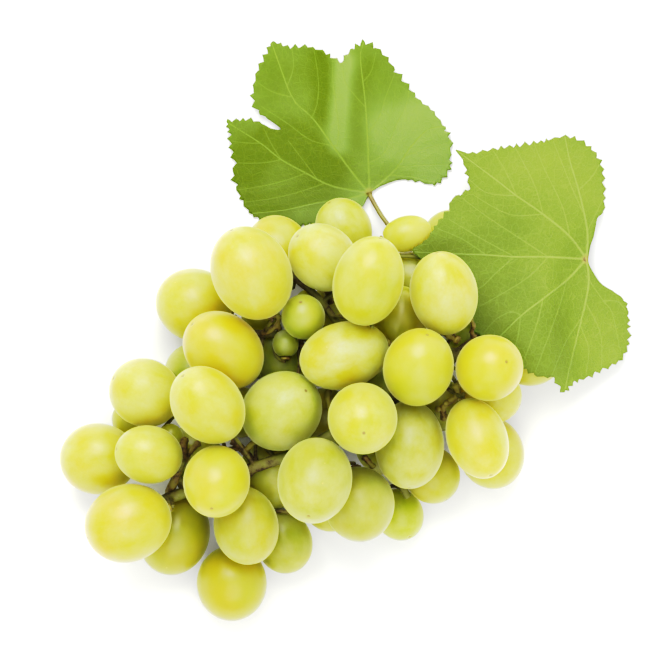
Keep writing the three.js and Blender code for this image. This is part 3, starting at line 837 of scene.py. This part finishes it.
def makeLeafSkin(name, look):
    material, tree, shader = nodeTree(name)
    place = addNode(tree, "ShaderNodeTexCoord").outputs["Object"]
    mainVein = ramp(tree, attribute(tree, "toMainVein"), 0.00012, look["veinWidth"], 0.8, 0.0)
    sideVein = ramp(tree, attribute(tree, "toSideVein"), 0.00008, look["veinWidth"], 0.42, 0.0)
    vein = calc(tree, "MAXIMUM", mainVein, sideVein)
    paintedSheenAndShade = attribute(tree, "paintedSheenAndShade")
    warp = addNode(tree, "ShaderNodeTexNoise", {"Vector": place, "Scale": 300.0, "Detail": 2.0})
    shifted = addNode(tree, "ShaderNodeVectorMath", {0: warp.outputs["Color"], 1: (0.0012, 0.0012, 0.0012)},
                      operation="MULTIPLY")
    warped = addNode(tree, "ShaderNodeVectorMath", {0: place, 1: shifted.outputs[0]}, operation="ADD")
    warped = warped.outputs[0]
    coarse = addNode(tree, "ShaderNodeTexVoronoi", {"Vector": warped, "Scale": leafNet["coarseScale"]},
                     feature="DISTANCE_TO_EDGE")
    finest = addNode(tree, "ShaderNodeTexVoronoi", {"Vector": warped, "Scale": leafNet["fineScale"]},
                     feature="DISTANCE_TO_EDGE")
    coarseNet = ramp(tree, coarse.outputs["Distance"], 0.02, 0.09, 1.0, 0.0)
    fineNet = ramp(tree, finest.outputs["Distance"], 0.02, 0.14, 1.0, 0.0)
    patch = noiseAt(tree, place, 55.0, 4.0, 0.55)
    # The painted sheen and shade from the patches is added to the random tone patches.
    share = calc(tree, "ADD", ramp(tree, patch, 0.3, 0.7, 0.2, 0.5), paintedSheenAndShade)
    colour = mixColour(tree, share, look["blade"], look["pale"])
    net = calc(tree, "ADD", calc(tree, "MULTIPLY", coarseNet, 0.16), calc(tree, "MULTIPLY", fineNet, 0.14))
    colour = mixColour(tree, calc(tree, "MULTIPLY", net, look["net"]), colour, look["vein"])
    colour = mixColour(tree, vein, colour, look["vein"])
    colour = mixColour(tree, ramp(tree, attribute(tree, "toJoint"), 0.0006, 0.0019, 0.8, 0.0), colour,
                       look["joint"])
    tree.links.new(colour, shader.inputs["Base Color"])
    shader.inputs["Roughness"].default_value = look["roughness"]
    shader.inputs["Specular IOR Level"].default_value = look["specular"]
    shader.inputs["Subsurface Weight"].default_value = leafNet["scatter"]
    shader.inputs["Subsurface Scale"].default_value = leafNet["scatterScale"]
    shader.inputs["Subsurface Radius"].default_value = leafNet["scatterRadius"]
    height = calc(tree, "ADD", calc(tree, "MULTIPLY", coarseNet, 0.6), calc(tree, "MULTIPLY", fineNet, 0.4))
    height = calc(tree, "ADD", height, calc(tree, "MULTIPLY", vein, look["veinRise"]))
    tree.links.new(bump(tree, height, look["netBump"], 0.00025), shader.inputs["Normal"])
    return material


upperSkin = makeLeafSkin("upperLeafSkin", upperLook)
rightSkin = makeLeafSkin("rightLeafSkin", rightLook)
makeLeaf("leafUpper", upperLeaf, upperSkin)
makeLeaf("leafRight", rightLeaf, rightSkin)
print("leaves made")


# Round stalks: a circle is swept along a route of places, with a radius at each of them.
def sweepStalk(bm, places, radii, sides):
    start = len(bm.verts)
    bmesh.ops.create_circle(bm, segments=sides, radius=1)
    bm.verts.ensure_lookup_table()
    ring = list(bm.verts[start:])
    edges = [e for e in bm.edges if e.verts[0] in ring and e.verts[1] in ring]
    placeRing(bm, ring, Matrix.Identity(4), ringMatrix(places, radii, 0))
    bmesh.ops.contextual_create(bm, geom=edges)
    for i in range(1, len(places)):
        grown = bmesh.ops.extrude_edge_only(bm, edges=edges)["geom"]
        ring = [g for g in grown if isinstance(g, bmesh.types.BMVert)]
        edges = [g for g in grown if isinstance(g, bmesh.types.BMEdge)]
        placeRing(bm, ring, ringMatrix(places, radii, i - 1), ringMatrix(places, radii, i))
    bmesh.ops.contextual_create(bm, geom=edges)


def ringMatrix(places, radii, i):
    ahead = (places[min(i + 1, len(places) - 1)] - places[max(i - 1, 0)]).normalized()
    turn = Vector((0, 0, 1)).rotation_difference(ahead).to_matrix().to_4x4()
    return Matrix.Translation(places[i]) @ turn @ Matrix.Diagonal((radii[i], radii[i], 1, 1))


def placeRing(bm, ring, before, after):
    bmesh.ops.transform(bm, matrix=after @ before.inverted(), verts=ring)


# Leaf stalks: the right one follows its solid, the upper one has a bent route of its own.
stalks = {
    "steps": 8,
    "sides": 14,
    "radius": 0.00072,
    "flare": 0.0004,
    "olive": (0.15, 0.135, 0.02),
    "brown": (0.11, 0.075, 0.02),
    "solidRadius": 0.0009,
    "upperRoute": [(12.4, 43.6, 1.3), (13.2, 41.6, 1.7), (16.1, 36.5, 3.2), (19.3, 31.5, 5.2),
                   (19.6, 26, 7), (16.5, 19, 9)],
}


def makeStalkSkin():
    material, tree, shader = nodeTree("stalkSkin")
    place = addNode(tree, "ShaderNodeTexCoord").outputs["Object"]
    patch = noiseAt(tree, place, 220.0, 3.0, 0.6)
    fibre = noiseAt(tree, place, 1500.0, 3.0, 0.6)
    colour = mixColour(tree, ramp(tree, patch, 0.4, 0.65), stalks["olive"], stalks["brown"])
    tree.links.new(colour, shader.inputs["Base Color"])
    tree.links.new(ramp(tree, fibre, 0.3, 0.7, 0.4, 0.6), shader.inputs["Roughness"])
    tree.links.new(bump(tree, fibre, 0.4, 0.0001), shader.inputs["Normal"])
    return material


def upperStalkPlaces():
    middle = middleOfView.to_3d()
    return [Vector(p) * mm + middle for p in stalks["upperRoute"]]


def rightStalkPlaces():
    solid = treeOf(nodes["leaf_right"])
    places = [toView((81.0, 22.4)).to_3d()]
    places[0].z = solid.ray_cast(places[0] + Vector((0, 0, 1)), Vector((0, 0, -1)))[0].z - 0.0006
    for x in range(77, 61, -4):
        hits = []
        for y in range(24, 48):
            start = toView((x, y / 2)).to_3d() - Vector((0, 0, 1))
            hit = solid.ray_cast(start, Vector((0, 0, 1)))[0]
            if hit is not None:
                hits.append(hit)
        low = min(hits, key=lambda h: h.z)
        near = [h for h in hits if h.z < low.z + 0.0006]
        middle = sum(h.y for h in near) / len(near)
        places.append(Vector((low.x, middle, low.z + stalks["solidRadius"])))
    return places


def makeStalk(name, places, material):
    route = curvePlaces(places, stalks["steps"] + 1)
    radii = []
    for i in range(len(route)):
        end = min(i, len(route) - 1 - i) / (len(route) - 1)
        radii.append(stalks["radius"] + stalks["flare"] * max(0, 1 - end * 9))
    bm = bmesh.new()
    sweepStalk(bm, route, radii, stalks["sides"])
    bmesh.ops.recalc_face_normals(bm, faces=bm.faces)
    return newObject(name, bm, material)


stalkSkin = makeStalkSkin()
makeStalk("stalkUpper", upperStalkPlaces(), stalkSkin)
makeStalk("stalkRight", rightStalkPlaces(), stalkSkin)
print("leaf stalks made")


# Dried twigs in the gaps between the berries. Each has a route and a radius, in millimetres.
twigs = {
    "sides": 9,
    "steps": 6,
    "lump": 0.00035,
    "routes": [
        ([(-46.9, -34, 20), (-46.3, -39.4, 21), (-47.9, -44.7, 20), (-50.4, -50.4, 18),
          (-51.7, -54.2, 15)], 1.5),
        ([(-41.3, -35.6, 17), (-44.1, -38.4, 19), (-46.3, -41.6, 20)], 1.0),
        ([(-49.5, -44, 17), (-47.6, -47.6, 18), (-46, -52, 16)], 1.1),
        ([(-30.9, -34.7, 19), (-28.4, -36.9, 20), (-25.8, -39.7, 20), (-23.3, -42.2, 19)], 1.2),
        ([(-32.8, -38.4, 17), (-28.4, -36.9, 19)], 0.9),
        ([(-21.4, -33.4, 20), (-25.2, -36.5, 22), (-27.4, -39.4, 21)], 1.0),
        ([(-16.1, 4.4, 20), (-16.7, 1.6, 21), (-19.5, -0.6, 20), (-21.4, -0.9, 19)], 0.9),
        ([(-16.7, 1.6, 21), (-15.4, -0.9, 20), (-13.9, -3.2, 18)], 0.8),
        ([(-0.9, 12.6, 17), (-0.3, 10.4, 18), (0.3, 8.5, 17)], 0.9),
        ([(-9.5, -3.2, 19), (-8.5, -5.4, 20)], 0.7),
        ([(35.2, -0.2, 33), (36.9, -1.4, 34.5), (38.4, -2.4, 33.5), (40.4, -3.4, 34.5)], 1.1),
        ([(44.1, 3.6, 30), (45.2, 1.4, 31), (44.8, -0.6, 30), (45.4, -2.4, 29)], 0.75),
        ([(39.4, -17, 30), (40.3, -20.2, 29), (37.8, -22.7, 29), (35.6, -24.6, 28), (36.2, -28.4, 26)], 1.0),
        ([(40.3, -20.2, 29), (42.5, -20.8, 30)], 0.75),
        ([(33.7, -24.9, 29), (35.6, -24.6, 28), (37.1, -22.6, 30)], 0.8),
        ([(10.6, -39.8, 29), (12.3, -41.6, 28), (13.8, -43.5, 27)], 0.9),
        ([(-0.3, -19.0, 26), (-0.6, -21.7, 27), (0.2, -24.5, 25)], 0.9),
    ],
}


def makeTwigs(material):
    bm = bmesh.new()
    middle = middleOfView.to_3d()
    for route, radius in twigs["routes"]:
        places = curvePlaces([Vector(p) * mm + middle for p in route], twigs["steps"] + 1)
        radii = []
        for i in range(len(places)):
            end = min(i, len(places) - 1 - i)
            radii.append(radius * mm * (1.3 if end in (1, 2) else 0.75 if end == 0 else 0.95))
        sweepStalk(bm, places, radii, twigs["sides"])
    for v in bm.verts:
        v.co += noise.noise_vector(v.co * 900) * twigs["lump"]
    bmesh.ops.recalc_face_normals(bm, faces=bm.faces)
    return newObject("driedTwigs", bm, material)


# A small knobbly ring on each berry that a stalk reaches.
knobs = {"radius": 0.0016, "height": 0.0007, "lump": 0.0003, "around": 12, "along": 8}


def makeKnobs(material):
    bm = bmesh.new()
    for berry in berries.values():
        if not berry["reached"]:
            continue
        knob = bmesh.ops.create_uvsphere(bm, u_segments=knobs["around"], v_segments=knobs["along"], radius=1)
        turn = Vector((0, 0, 1)).rotation_difference(berry["axis"]).to_matrix().to_4x4()
        size = Matrix.Diagonal((knobs["radius"], knobs["radius"], knobs["height"], 1))
        place = berry["stemEnd"] - berry["axis"] * 0.0001
        bmesh.ops.transform(bm, matrix=Matrix.Translation(place) @ turn @ size, verts=knob["verts"])
    for v in bm.verts:
        v.co += noise.noise_vector(v.co * 1100) * knobs["lump"]
    return newObject("stalkKnobs", bm, material)


twigBark = makeStemMaterial("twigBark", {"green": (0.20, 0.18, 0.025), "brown": (0.13, 0.085, 0.018),
                                         "dry": (0.05, 0.03, 0.01)})
makeTwigs(twigBark)
makeKnobs(twigBark)
print("twigs made")
